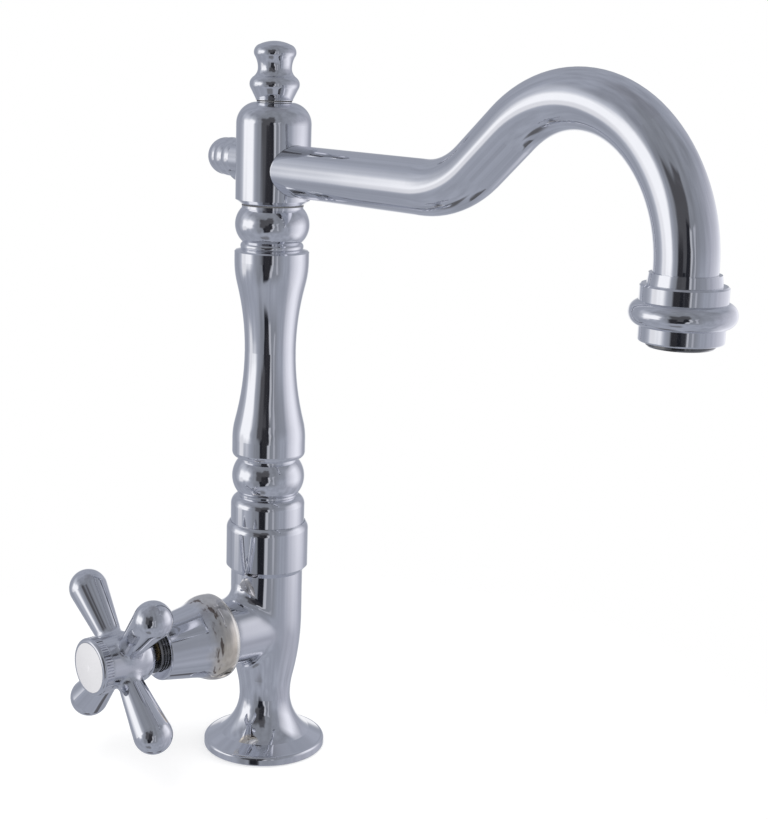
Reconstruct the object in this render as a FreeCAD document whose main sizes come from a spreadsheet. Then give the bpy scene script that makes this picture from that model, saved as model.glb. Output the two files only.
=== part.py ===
import FreeCAD, Part
import Sketcher
import math
import os
import re

# Pillar tap with a swan-neck swivel spout and a cross handle.
# Millimetres, +Z up, origin at the centre of the flange's underside.
# The spout points along -Y, the valve branch and its handle along -X.

doc = FreeCAD.newDocument("pillar_tap")
sizes = doc.addObject("Spreadsheet::Sheet", "Sizes")
places = doc.addObject("Spreadsheet::Sheet", "Places")
sheet_of = {}
sub_parts = []

LEFT = 1
RIGHT = -1
UPRIGHT = FreeCAD.Rotation()
ALONG_HANDLE = FreeCAD.Rotation(FreeCAD.Vector(0, 1, 0), -90)
ALONG_SPOUT = FreeCAD.Rotation(FreeCAD.Vector(0, 0, 1), -90)
ALONG_BACK = FreeCAD.Rotation(FreeCAD.Vector(1, 0, 0), -90)
ALONG_FRONT = FreeCAD.Rotation(FreeCAD.Vector(1, 0, 0), 90)
ALONG_SIDE = FreeCAD.Rotation(FreeCAD.Vector(0, 1, 0), 90)


def bound(text):
    return re.sub(r"[a-z][a-z0-9_]*", lambda word: sheet_of.get(word[0], "") + word[0], text)


def value(text):
    return float(sizes.evalExpression(bound(text)))


def enter(sheet, rows):
    for row, (alias, entry) in enumerate(rows.items(), 1):
        sheet.set("A%d" % row, alias)
        sheet.set("B%d" % row, str(entry))
        sheet.setAlias("B%d" % row, alias)
    for alias in rows:
        sheet_of[alias] = sheet.Name + "."
    doc.recompute()


# Driving sizes

driving_sizes = {
    # clearances
    "fit_gap": 0.05,
    "turn_gap": 0.3,
    # valve body: flange, neck, vase and branch
    "flange_radius": 27,
    "flange_edge": 0.6,
    "flange_rim_height": 2.7,
    "flange_round": 1.4,
    "flare_radius": 20.2,
    "flare_height": 7,
    "neck_radius": 11.35,
    "neck_height": 24,
    "body_radius": 15.8,
    "vase_height": 61.5,
    "vase_blend": 0.25,
    "shoulder_height": 82.9,
    "spigot_radius": 14,
    "spigot_length": 12,
    "socket_floor_depth": 16,
    "inlet_radius": 9.3,
    "inlet_depth": 14,
    "inlet_way_radius": 4.5,
    "inlet_way_offset": 4,
    "outlet_way_radius": 4,
    "outlet_way_offset": 6.5,
    "valve_height": 57.2,
    "branch_radius": 14.8,
    "branch_length": 26.5,
    "branch_round": 6,
    "chamber_clearance": 0.7,
    "chamber_floor": 2,
    "gasket_inner_radius": 20.5,
    "gasket_width": 3.5,
    "gasket_thickness": 2,
    # union collar
    "collar_wall": 1.7,
    "collar_chamfer": 2.4,
    "collar_lip": 3,
    "collar_cover": 7.1,
    "collar_round": 3.2,
    "collar_round_depth": 1.3,
    "grub_radius": 2,
    "grub_socket": 1,
    # column
    "column_bore": 6.5,
    "column_spigot_radius": 11,
    "column_spigot_length": 13.4,
    "seal_ring_thickness": 1.6,
    "seal_groove_width": 2.4,
    "column_seal_pitch": 5,
    "foot_radius": 16.2,
    "foot_length": 15,
    "foot_round": 4.2,
    "bead_neck_radius": 13.1,
    "bead_neck_length": 0.8,
    "ball_radius": 15.85,
    "lower_ball_length": 15.1,
    "shelf_radius": 15.2,
    "shelf_rise": 1,
    "shelf_round": 1.8,
    "band_radius": 15.95,
    "band_edge": 0.6,
    "lower_band_length": 5.9,
    "waist_radius": 11.07,
    "waist_lower_length": 38.5,
    "waist_lower_blend": 0.2,
    "waist_upper_length": 38.8,
    "waist_upper_blend": 0.26,
    "upper_band_length": 3.9,
    "upper_shelf_rise": 0.6,
    "upper_ring_length": 2.3,
    "upper_ring_swell": 0.4,
    "ring_groove_depth": 0.5,
    "upper_ball_length": 13.9,
    "upper_rim_length": 1.1,
    # swivel post and head
    "post_radius": 9.2,
    "post_thread_radius": 8.5,
    "post_thread_length": 17,
    "post_bore": 5.5,
    "port_radius": 3,
    "post_seal_height": 4.6,
    "post_neck_radius": 7.4,
    "stud_radius": 5,
    "stud_length": 9,
    "head_washer_thickness": 0.8,
    "head_radius": 15.83,
    "head_foot_radius": 13.5,
    "head_chamfer": 1.7,
    "head_height": 42,
    "dome_height": 9,
    "dome_flat": 0.95,
    "gallery_radius": 11.6,
    "gallery_height": 14,
    "spout_height": 14.4,
    "boss_radius": 6.8,
    "boss_reach": 10,
    "boss_edge": 3,
    # finial
    "finial_washer_thickness": 0.6,
    "finial_foot_radius": 7.85,
    "finial_bead_radius": 10.5,
    "finial_bead_rise": 6.4,
    "finial_bead_round": 3.6,
    "finial_lower_angle": 27,
    "finial_upper_angle": 42,
    "finial_crease_rise": 2.9,
    "finial_neck_radius": 7.1,
    "finial_neck_rise": 3.7,
    "finial_top_radius": 8.85,
    "finial_top_rise": 6.3,
    "finial_top_blend": 0.75,
    "finial_shoulder_radius": 6.4,
    "finial_shoulder_rise": 3.4,
    "finial_cap_rise": 1.4,
    # back knob
    "knob_rise": 3.2,
    "knob_spot_depth": 2.6,
    "knob_base_radius": 8.3,
    "knob_base_length": 7.5,
    "knob_groove_depth": 0.35,
    "knob_ring_length": 5.2,
    "knob_tip_length": 9.4,
    "knob_stud_radius": 4.5,
    "knob_stud_length": 1.2,
    "knob_washer_thickness": 0.8,
    # spout tube
    "tube_radius": 10.75,
    "tube_wall": 1.2,
    "tube_seat": 10,
    "spout_run": 94,
    "rise_bend": 42.6,
    "rise_angle": 40.8,
    "slope_length": 21.8,
    "crest_bend": 47.4,
    "crest_angle": 40.5,
    "fall_bend": 53.4,
    "drop_length": 8,
    # outlet
    "ferrule_edge": 1.1,
    "ferrule_wall": 1.6,
    "ferrule_length": 3.6,
    "outlet_band_radius": 14.6,
    "outlet_band_length": 5.4,
    "outlet_band_edge": 0.6,
    "outlet_bead_radius": 17.85,
    "outlet_bead_length": 8.3,
    "outlet_foot_radius": 14.2,
    "outlet_foot_length": 5.1,
    "outlet_lip": 1.2,
    "tube_grip": 3,
    "insert_radius": 11.6,
    "insert_wall": 1.8,
    "insert_stand_out": 1.7,
    "insert_edge": 0.6,
    "aerator_washer_thickness": 1.5,
    "aerator_washer_width": 1.6,
    "screen_recess": 1.4,
    "screen_thickness": 0.8,
    "screen_pitch": 2.6,
    "screen_hole_radius": 0.7,
    "screen_reach": 2,
    # valve cartridge
    "seat_seal_thickness": 2,
    "seat_seal_bore": 4.6,
    "disc_radius": 7.5,
    "disc_thickness": 3,
    "disc_port_radius": 2.2,
    "disc_port_offset": 4,
    "drive_slot_depth": 1.4,
    "drive_width": 2.4,
    "drive_length": 10,
    "cartridge_skirt_wall": 1.05,
    "cartridge_thread_length": 12.5,
    "cartridge_window": 3,
    "hex_across_corners": 23,
    "hex_length": 4,
    "cartridge_neck_radius": 7.6,
    "cartridge_neck_length": 25,
    "spindle_radius": 4,
    "spindle_flange_inset": 1,
    "spindle_flange_length": 3,
    "spindle_seal_inset": 4.7,
    "spindle_seal_pitch": 5,
    "spindle_seal_thickness": 1.1,
    "spindle_seal_groove": 1.7,
    "circlip_radius": 6,
    "circlip_thickness": 0.8,
    "circlip_groove": 0.8,
    "circlip_opening": 60,
    # bonnet shroud and gland
    "bonnet_overhang": 0.2,
    "bonnet_rim_radius": 18.8,
    "bonnet_rim_rise": 2.9,
    "bonnet_rim_length": 1.2,
    "bonnet_rim_round": 12.1,
    "bonnet_flare_round": 21.5,
    "bonnet_flare_angle": 26.5,
    "bonnet_taper_angle": 9.6,
    "bonnet_length": 32.1,
    "bonnet_nose_edge": 0.9,
    "bonnet_grip": 17,
    "gland_wall": 1.4,
    "gland_cover": 3.5,
    "gland_chamber": 3,
    "gland_lip": 3,
    "gland_groove": 0.7,
    # cross handle
    "hub_gap": 1.5,
    "hub_rear_radius": 7.6,
    "hub_swell_length": 7,
    "hub_radius": 11.2,
    "hub_length": 23.5,
    "arm_position": 13.1,
    "arm_root_radius": 5.4,
    "arm_root_start": 12.5,
    "arm_root_flare": 1.6,
    "arm_ball_radius": 8.15,
    "arm_ball_position": 34.85,
    "spline_depth": 16.5,
    "hub_web": 2,
    "screw_radius": 2,
    "screw_length": 11,
    "screw_head_radius": 4,
    "screw_head_length": 2.8,
    "screw_socket": 1.6,
    "hub_wall": 2.4,
    "bezel_spigot_wall": 2,
    "bezel_wall": 1.75,
    "bezel_length": 3.2,
    "bezel_front_edge": 1.4,
    "knurl_count": 66,
    "knurl_depth": 0.4,
    "knurl_width": 0.6,
    "knurl_length": 3,
    "button_radius": 10.4,
    "button_thickness": 3,
    "button_crown": 0.6,
}
enter(sizes, driving_sizes)

enter(places, {
    "collar_radius": "=" + bound("foot_radius + fit_gap + collar_wall"),
    "cartridge_skirt_radius": "=" + bound("disc_radius + fit_gap + cartridge_skirt_wall"),
    "chamber_radius": "=" + bound("cartridge_skirt_radius + chamber_clearance"),
    "bonnet_foot_radius": "=" + bound("branch_radius + bonnet_overhang"),
    "gland_radius": "=" + bound("cartridge_neck_radius + gland_wall"),
    "bezel_spigot_radius": "=" + bound("hub_radius - hub_wall"),
    "bezel_radius": "=" + bound("button_radius + fit_gap + bezel_wall"),
    "knob_seat": "=" + bound("head_radius - knob_spot_depth"),
    "spigot_top": "=" + bound("shoulder_height + spigot_length"),
    "socket_floor": "=" + bound("shoulder_height + spigot_length - socket_floor_depth"),
    "column_seat": "=" + bound("shoulder_height + spigot_length + collar_lip"),
    "foot_top": "=" + bound("column_seat + foot_length"),
    "lower_ball_start": "=" + bound("foot_top + foot_round + bead_neck_length"),
    "lower_ball_end": "=" + bound("lower_ball_start + lower_ball_length"),
    "shelf_start": "=" + bound("lower_ball_end + bead_neck_length"),
    "lower_band_start": "=" + bound("shelf_start + shelf_rise + shelf_round"),
    "waist_start": "=" + bound("lower_band_start + lower_band_length"),
    "waist_middle": "=" + bound("waist_start + waist_lower_length"),
    "waist_end": "=" + bound("waist_middle + waist_upper_length"),
    "upper_band_end": "=" + bound("waist_end + upper_band_length"),
    "upper_ring_start": "=" + bound("upper_band_end + band_edge + upper_shelf_rise"),
    "upper_ring_end": "=" + bound("upper_ring_start + upper_ring_length"),
    "upper_ball_start": "=" + bound("upper_ring_end + 2 * ring_groove_depth"),
    "upper_ball_end": "=" + bound("upper_ball_start + upper_ball_length"),
    "column_top": "=" + bound("upper_ball_end + upper_rim_length"),
    "head_bottom": "=" + bound("column_top + head_washer_thickness"),
    "head_top": "=" + bound("head_bottom + head_height"),
    "spout_axis": "=" + bound("head_bottom + spout_height"),
    "knob_axis": "=" + bound("spout_axis + knob_rise"),
    "post_shoulder": "=" + bound("head_top - dome_height / 2"),
    "post_top": "=" + bound("head_top + turn_gap"),
    "finial_foot": "=" + bound("post_top + finial_washer_thickness"),
    "slope_start": "=" + bound("spout_run + rise_bend * sin(rise_angle)"),
    "slope_start_height": "=" + bound("spout_axis + rise_bend * (1 - cos(rise_angle))"),
    "slope_end": "=" + bound("slope_start + slope_length * cos(rise_angle)"),
    "slope_end_height": "=" + bound("slope_start_height + slope_length * sin(rise_angle)"),
    "fall_start": "=" + bound("slope_end + crest_bend * (sin(rise_angle) + sin(crest_angle))"),
    "fall_start_height": "=" + bound("slope_end_height - crest_bend * (cos(rise_angle) - cos(crest_angle))"),
    "spout_reach": "=" + bound("fall_start + fall_bend * (1 - sin(crest_angle))"),
    "drop_start": "=" + bound("fall_start_height - fall_bend * cos(crest_angle)"),
    "tube_end": "=" + bound("drop_start - drop_length"),
    "outlet_top": "=" + bound("tube_end + tube_grip"),
    "outlet_bead_top": "=" + bound("outlet_top - outlet_band_length"),
    "outlet_bead_bottom": "=" + bound("outlet_bead_top - outlet_bead_length"),
    "outlet_bottom": "=" + bound("outlet_bead_bottom - outlet_foot_length"),
    "aerator_seat": "=" + bound("tube_end - outlet_lip"),
    "insert_top": "=" + bound("aerator_seat - aerator_washer_thickness"),
    "insert_bottom": "=" + bound("outlet_bottom - insert_stand_out"),
    "fixed_disc_start": "=" + bound("chamber_floor + seat_seal_thickness"),
    "moving_disc_start": "=" + bound("fixed_disc_start + disc_thickness"),
    "moving_disc_end": "=" + bound("moving_disc_start + disc_thickness"),
    "spindle_flange_end": "=" + bound("moving_disc_end + spindle_flange_length"),
    "disc_chamber_end": "=" + bound("spindle_flange_end + turn_gap"),
    "cartridge_neck_start": "=" + bound("branch_length + hex_length"),
    "cartridge_end": "=" + bound("cartridge_neck_start + cartridge_neck_length"),
    "circlip_start": "=" + bound("cartridge_end + turn_gap"),
    "bonnet_rim_start": "=" + bound("branch_length + bonnet_rim_rise"),
    "bonnet_rim_end": "=" + bound("bonnet_rim_start + bonnet_rim_length"),
    "bonnet_flare_start": "=" + bound("bonnet_rim_end + bonnet_rim_round * sin(bonnet_flare_angle)"),
    "bonnet_flare_radius": "=" + bound(
        "bonnet_rim_radius - bonnet_rim_round * (1 - cos(bonnet_flare_angle))"),
    "bonnet_bell_start": "=" + bound(
        "bonnet_flare_start + bonnet_flare_round * (sin(bonnet_flare_angle) - sin(bonnet_taper_angle))"),
    "bonnet_bell_radius": "=" + bound(
        "bonnet_flare_radius - bonnet_flare_round * (cos(bonnet_taper_angle) - cos(bonnet_flare_angle))"),
    "bonnet_end": "=" + bound("branch_length + bonnet_length"),
    "gland_chamber_end": "=" + bound("cartridge_end + gland_chamber"),
    "gland_end": "=" + bound("gland_chamber_end + gland_lip"),
    "hub_start": "=" + bound("gland_end + hub_gap"),
    "arm_axis": "=" + bound("hub_start + arm_position"),
    "spline_end": "=" + bound("hub_start + spline_depth"),
    "screw_seat": "=" + bound("spline_end + hub_web"),
    "hub_end": "=" + bound("hub_start + hub_length"),
    "bezel_end": "=" + bound("hub_end + bezel_length + bezel_front_edge"),
})


# Building blocks shared by the sub-parts

def bulge(length, rise):
    return "(({0})^2 / 4 + ({1})^2) / (2 * ({1}))".format(length, rise)


def swell(step, length):
    return "(({0})^2 + ({1})^2) / (2 * ({0}))".format(step, length)


def new_body(label, turn=UPRIGHT, x="0", y="0", z="0", spin=0):
    body = doc.addObject("PartDesign::Body", label)
    body.Label = label
    spun = turn.multiply(FreeCAD.Rotation(FreeCAD.Vector(0, 0, 1), spin))
    body.Placement = FreeCAD.Placement(FreeCAD.Vector(0, 0, 0), spun)
    for axis, text in zip("xyz", (x, y, z)):
        if text != "0":
            body.setExpression("Placement.Base." + axis, bound(text))
    sub_parts.append(body)
    return body


def new_sketch(body, role, up="0", out="0"):
    plane = next(item for item in body.Origin.OriginFeatures if item.Role == role)
    sketch = body.newObject("Sketcher::SketchObject", "Sketch")
    sketch.AttachmentSupport = [(plane, "")]
    sketch.MapMode = "FlatFace"
    for axis, text in zip("yz", (up, out)):
        if text != "0":
            sketch.setExpression("AttachmentOffset.Base." + axis, bound(text))
    return sketch


def arc_between(start, end, radius, side):
    chord = end - start
    normal = FreeCAD.Vector(-chord.y, chord.x, 0).normalize()
    offset = math.sqrt(max(radius ** 2 - chord.Length ** 2 / 4, 0))
    centre = (start + end) * 0.5 + normal * (offset * side)
    first, last = (start, end) if side == LEFT else (end, start)
    angles = [math.atan2(p.y - centre.y, p.x - centre.x) for p in (first, last)]
    circle = Part.Circle(centre, FreeCAD.Vector(0, 0, 1), radius)
    return Part.ArcOfCircle(circle, angles[0], angles[1])


def fix_point(sketch, rules, geometry, end, x, y):
    for kind, text, axis in (("DistanceX", x, -2), ("DistanceY", y, -1)):
        if text == "0":
            rules.append((Sketcher.Constraint("PointOnObject", geometry, end, axis), None))
        else:
            rule = Sketcher.Constraint(kind, -1, 1, geometry, end, value(text))
            rules.append((rule, text))


def apply_rules(sketch, rules):
    numbers = sketch.addConstraint([rule for rule, text in rules])
    for number, (rule, text) in zip(numbers, rules):
        if text is not None:
            sketch.setExpression("Constraints[%d]" % number, bound(text))


def draw(sketch, points, closed=True):
    # Each point is (x, y), or (x, y, radius, side) where an arc arrives there
    # whose centre lies on that side of the way it is drawn.
    corners = [FreeCAD.Vector(value(p[0]), value(p[1]), 0) for p in points]
    geometry = []
    ends = []
    rules = []
    count = len(points) if closed else len(points) - 1
    for number in range(count):
        start = corners[number]
        target = points[(number + 1) % len(points)]
        end = corners[(number + 1) % len(points)]
        if len(target) == 2:
            geometry.append(Part.LineSegment(start, end))
            ends.append((1, 2))
        else:
            geometry.append(arc_between(start, end, value(target[2]), target[3]))
            ends.append((1, 2) if target[3] == LEFT else (2, 1))
            rules.append((Sketcher.Constraint("Radius", number, value(target[2])), target[2]))
    sketch.addGeometry(geometry, False)
    for number in range(count):
        if closed or number > 0:
            before = (number - 1) % count
            joint = Sketcher.Constraint("Coincident", before, ends[before][1], number, ends[number][0])
            rules.append((joint, None))
        fix_point(sketch, rules, number, ends[number][0], points[number][0], points[number][1])
    if not closed:
        fix_point(sketch, rules, count - 1, ends[-1][1], points[-1][0], points[-1][1])
    apply_rules(sketch, rules)


def circle(sketch, x, y, radius):
    centre = FreeCAD.Vector(value(x), value(y), 0)
    shape = Part.Circle(centre, FreeCAD.Vector(0, 0, 1), value(radius))
    number = sketch.addGeometry(shape, False)
    rules = [(Sketcher.Constraint("Radius", number, value(radius)), radius)]
    fix_point(sketch, rules, number, 3, x, y)
    apply_rules(sketch, rules)


def revolve(body, points, kind="PartDesign::Revolution", axis="V_Axis", up="0", angle=None):
    sketch = new_sketch(body, "XZ_Plane", up=up)
    draw(sketch, points)
    feature = body.newObject(kind, "Turned")
    feature.Profile = sketch
    feature.ReferenceAxis = (sketch, [axis])
    feature.Angle = 360
    if angle is not None:
        feature.setExpression("Angle", bound(angle))
    return feature


def ring(body, inner, outer, start, end):
    return revolve(body, [(inner, start), (outer, start), (outer, end), (inner, end)])


def primitive(body, kind, fields, turn=UPRIGHT, x="0", y="0", z="0"):
    feature = body.newObject("PartDesign::" + kind, kind)
    for field, text in fields.items():
        feature.setExpression(field, bound(text))
    feature.Placement = FreeCAD.Placement(FreeCAD.Vector(0, 0, 0), turn)
    for axis, text in zip("xyz", (x, y, z)):
        if text != "0":
            feature.setExpression("Placement.Base." + axis, bound(text))
    return feature


def bore(body, radius, length, turn=UPRIGHT, x="0", y="0", z="0"):
    before = body.Tip
    doc.recompute()
    volume = before.Shape.Volume
    feature = primitive(body, "SubtractiveCylinder", {"Radius": radius, "Height": length}, turn, x, y, z)
    doc.recompute()
    if feature.Shape.Volume > volume - 0.001:
        raise RuntimeError("a bore in %s cuts nothing" % body.Label)
    return feature


def seal_rings(label, radius, thickness, heights, turn=UPRIGHT, base_z="0"):
    rings = []
    for height in heights:
        torus = doc.addObject("Part::Torus", label + "_ring")
        torus.setExpression("Radius1", bound("(%s) - (%s) / 2" % (radius, thickness)))
        torus.setExpression("Radius2", bound("(%s) / 2" % thickness))
        torus.Placement = FreeCAD.Placement(FreeCAD.Vector(0, 0, 0), turn)
        if turn is UPRIGHT:
            torus.setExpression("Placement.Base.z", bound(height))
        else:
            torus.setExpression("Placement.Base.x", bound("-(%s)" % height))
            torus.setExpression("Placement.Base.z", bound(base_z))
        rings.append(torus)
    group = doc.addObject("Part::Compound", label)
    group.Label = label
    group.Links = rings
    sub_parts.append(group)


def groove_points(radius, floor, middle, width):
    # Four corners of a seal groove cut into a shaft, drawn upwards.
    low = "(%s) - (%s) / 2" % (middle, width)
    high = "(%s) + (%s) / 2" % (middle, width)
    return [(radius, low), (floor, low), (floor, high), (radius, high)]


# Valve body: cast flange, neck and vase with a side branch, drilled for the water

valve_body = new_body("valve_body")
blend_radius = "neck_radius + vase_blend * (body_radius - neck_radius)"
blend_height = "neck_height + vase_blend * (vase_height - neck_height)"
vase_step = "(body_radius - neck_radius)"
vase_rise = "(vase_height - neck_height)"
revolve(valve_body, [
    ("0", "0"),
    ("flange_radius - flange_edge", "0"),
    ("flange_radius", "flange_edge", "flange_edge", LEFT),
    ("flange_radius", "flange_rim_height"),
    ("flange_radius - flange_round", "flange_rim_height + flange_round", "flange_round", LEFT),
    ("flare_radius", "flare_height"),
    ("neck_radius", "neck_height", swell("flare_radius - neck_radius", "neck_height - flare_height"), RIGHT),
    (blend_radius, blend_height, swell("vase_blend * " + vase_step, "vase_blend * " + vase_rise), RIGHT),
    ("body_radius", "vase_height",
     swell("(1 - vase_blend) * " + vase_step, "(1 - vase_blend) * " + vase_rise), LEFT),
    ("body_radius", "shoulder_height"),
    ("spigot_radius", "shoulder_height"),
    ("spigot_radius", "spigot_top"),
    ("0", "spigot_top"),
])
branch = primitive(valve_body, "AdditiveCylinder", {"Radius": "branch_radius", "Height": "branch_length"},
                   ALONG_HANDLE, z="valve_height")
doc.recompute()
crotch = [
    "Edge%d" % number
    for number, edge in enumerate(branch.Shape.Edges, 1)
    if edge.Curve.TypeId not in ("Part::GeomLine", "Part::GeomCircle")
]
fillet = valve_body.newObject("PartDesign::Fillet", "Crotch")
fillet.Base = (branch, crotch)
fillet.setExpression("Radius", bound("branch_round"))
bore(valve_body, "inlet_radius", "inlet_depth")
bore(valve_body, "inlet_way_radius", "valve_height", x="inlet_way_offset")
bore(valve_body, "inlet_way_radius", "inlet_way_offset + chamber_floor", ALONG_HANDLE,
     x="inlet_way_offset", z="valve_height")
bore(valve_body, "chamber_radius", "branch_length", ALONG_HANDLE, x="-chamber_floor", z="valve_height")
bore(valve_body, "outlet_way_radius", "socket_floor - valve_height", x="-outlet_way_offset", z="valve_height")
bore(valve_body, "column_spigot_radius + fit_gap", "socket_floor_depth", z="socket_floor")
revolve(valve_body, [
    ("gasket_inner_radius - fit_gap", "0"),
    ("gasket_inner_radius + gasket_width + fit_gap", "0"),
    ("gasket_inner_radius + gasket_width + fit_gap", "gasket_thickness"),
    ("gasket_inner_radius - fit_gap", "gasket_thickness"),
], "PartDesign::Groove")

# Deck gasket: flat rubber ring let into the flange's underside

deck_gasket = new_body("deck_gasket")
ring(deck_gasket, "gasket_inner_radius", "gasket_inner_radius + gasket_width", "0", "gasket_thickness")

# Union collar: screwed over the valve body's spigot, it carries the column's foot

union_collar = new_body("union_collar")
collar_top = "column_seat + collar_cover"
revolve(union_collar, [
    ("spigot_radius + fit_gap", "shoulder_height"),
    ("body_radius", "shoulder_height"),
    ("collar_radius", "shoulder_height + collar_chamfer"),
    ("collar_radius", collar_top + " - collar_round"),
    ("collar_radius - collar_round_depth", collar_top, swell("collar_round_depth", "collar_round"), LEFT),
    ("foot_radius + fit_gap", collar_top),
    ("foot_radius + fit_gap", "column_seat"),
    ("column_spigot_radius + fit_gap", "column_seat"),
    ("column_spigot_radius + fit_gap", "spigot_top"),
    ("spigot_radius + fit_gap", "spigot_top"),
])
grub_height = "column_seat + collar_cover / 2"
bore(union_collar, "grub_radius + fit_gap", "collar_radius", ALONG_BACK, z=grub_height)

# Collar grub screw: holds the column from turning in the collar

grub_screw = new_body("collar_grub_screw", ALONG_BACK, z=grub_height)
revolve(grub_screw, [
    ("0", "foot_radius + fit_gap"),
    ("grub_radius", "foot_radius + fit_gap"),
    ("grub_radius", "collar_radius - fit_gap"),
    ("0", "collar_radius - fit_gap"),
])
primitive(grub_screw, "SubtractivePrism", {"Circumradius": "grub_socket", "Height": "grub_socket"},
          z="collar_radius - fit_gap - grub_socket")

# Column: turned brass baluster, bored through, with two seal grooves in its spigot

column = new_body("column")
spigot_bottom = "column_seat - column_spigot_length"
seal_floor = "column_spigot_radius - seal_ring_thickness"
upper_column_seal = "column_seat - column_seal_pitch"
lower_column_seal = "column_seat - 2 * column_seal_pitch"
ball_rise = "ball_radius - bead_neck_radius"
waist_step = "(band_radius - waist_radius)"
lower_round = (
    "band_radius - waist_lower_blend * " + waist_step,
    "waist_start + waist_lower_blend * waist_lower_length",
    swell("waist_lower_blend * " + waist_step, "waist_lower_blend * waist_lower_length"), LEFT)
lower_hollow = (
    "waist_radius", "waist_middle",
    swell("(1 - waist_lower_blend) * " + waist_step, "(1 - waist_lower_blend) * waist_lower_length"), RIGHT)
upper_hollow = (
    "band_radius - waist_upper_blend * " + waist_step,
    "waist_end - waist_upper_blend * waist_upper_length",
    swell("(1 - waist_upper_blend) * " + waist_step, "(1 - waist_upper_blend) * waist_upper_length"), RIGHT)
upper_round = (
    "band_radius", "waist_end",
    swell("waist_upper_blend * " + waist_step, "waist_upper_blend * waist_upper_length"), LEFT)
revolve(column, [
    ("column_bore", spigot_bottom),
    ("column_spigot_radius", spigot_bottom),
    *groove_points("column_spigot_radius", seal_floor, lower_column_seal, "seal_groove_width"),
    *groove_points("column_spigot_radius", seal_floor, upper_column_seal, "seal_groove_width"),
    ("column_spigot_radius", "column_seat"),
    ("foot_radius", "column_seat"),
    ("foot_radius", "foot_top"),
    ("bead_neck_radius", "foot_top + foot_round",
     swell("foot_radius - bead_neck_radius", "foot_round"), LEFT),
    ("bead_neck_radius", "lower_ball_start"),
    ("bead_neck_radius", "lower_ball_end", bulge("lower_ball_length", ball_rise), LEFT),
    ("bead_neck_radius", "shelf_start"),
    ("shelf_radius", "shelf_start + shelf_rise"),
    ("band_radius", "lower_band_start", swell("band_radius - shelf_radius", "shelf_round"), LEFT),
    ("band_radius", "waist_start"),
    lower_round,
    lower_hollow,
    upper_hollow,
    upper_round,
    ("band_radius", "upper_band_end"),
    ("band_radius - band_edge", "upper_band_end + band_edge"),
    ("bead_neck_radius", "upper_ring_start"),
    ("bead_neck_radius", "upper_ring_end", bulge("upper_ring_length", "upper_ring_swell"), LEFT),
    ("bead_neck_radius - ring_groove_depth", "upper_ring_end + ring_groove_depth"),
    ("bead_neck_radius", "upper_ball_start"),
    ("bead_neck_radius", "upper_ball_end", bulge("upper_ball_length", ball_rise), LEFT),
    ("bead_neck_radius", "column_top"),
    ("post_thread_radius + fit_gap", "column_top"),
    ("post_thread_radius + fit_gap", "column_top - post_thread_length"),
    ("column_bore", "column_top - post_thread_length"),
])
seal_rings("column_o_rings", "column_spigot_radius", "seal_ring_thickness",
           [lower_column_seal, upper_column_seal])

# Swivel post: screwed into the column, it carries the head and lets the water out sideways

swivel_post = new_body("swivel_post")
post_seal_floor = "post_radius - seal_ring_thickness"
lower_post_seal = "head_bottom + post_seal_height"
upper_post_seal = "head_top - dome_height - post_seal_height"
port_top = "spout_axis + gallery_height / 2"
revolve(swivel_post, [
    ("post_bore", "column_top - post_thread_length"),
    ("post_thread_radius", "column_top - post_thread_length"),
    ("post_thread_radius", "column_top"),
    ("post_radius", "column_top"),
    *groove_points("post_radius", post_seal_floor, lower_post_seal, "seal_groove_width"),
    *groove_points("post_radius", post_seal_floor, upper_post_seal, "seal_groove_width"),
    ("post_radius", "post_shoulder"),
    ("post_neck_radius", "post_shoulder"),
    ("post_neck_radius", "post_top"),
    ("stud_radius", "post_top"),
    ("stud_radius", "post_top + stud_length"),
    ("0", "post_top + stud_length"),
    ("0", port_top),
    ("post_bore", port_top),
])
for turn, x, y in ((ALONG_SIDE, "-post_radius", "0"), (ALONG_FRONT, "0", "post_radius")):
    bore(swivel_post, "port_radius", "2 * post_radius", turn, x=x, y=y, z="spout_axis")
seal_rings("post_o_rings", "post_radius", "seal_ring_thickness", [lower_post_seal, upper_post_seal])

# Washers under the head and under the finial

head_washer = new_body("head_washer")
ring(head_washer, "post_radius + fit_gap", "bead_neck_radius - fit_gap", "column_top", "head_bottom")
finial_washer = new_body("finial_washer")
ring(finial_washer, "stud_radius + fit_gap", "post_neck_radius", "post_top", "finial_foot")

# Finial: turned cap nut that closes the head and holds it down

finial = new_body("finial")
finial_bead = "finial_foot + finial_bead_rise"
finial_crease = finial_bead + " + finial_crease_rise"
finial_neck = finial_crease + " + finial_neck_rise"
finial_bulb = finial_neck + " + finial_top_rise"
finial_shoulder = finial_bulb + " + finial_shoulder_rise"
finial_tip = finial_shoulder + " + finial_cap_rise"
bead_centre = "finial_bead_radius - finial_bead_round"
lower_width = bead_centre + " + finial_bead_round * cos(finial_lower_angle)"
lower_height = finial_bead + " - finial_bead_round * sin(finial_lower_angle)"
foot_height = "%s - (%s - finial_foot_radius) / tan(finial_lower_angle)" % (lower_height, lower_width)
upper_width = bead_centre + " + finial_bead_round * cos(finial_upper_angle)"
upper_height = finial_bead + " + finial_bead_round * sin(finial_upper_angle)"
crease_width = "%s - (%s - (%s)) * tan(finial_upper_angle)" % (upper_width, finial_crease, upper_height)
bulb_step = "(finial_top_radius - finial_neck_radius)"
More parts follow.
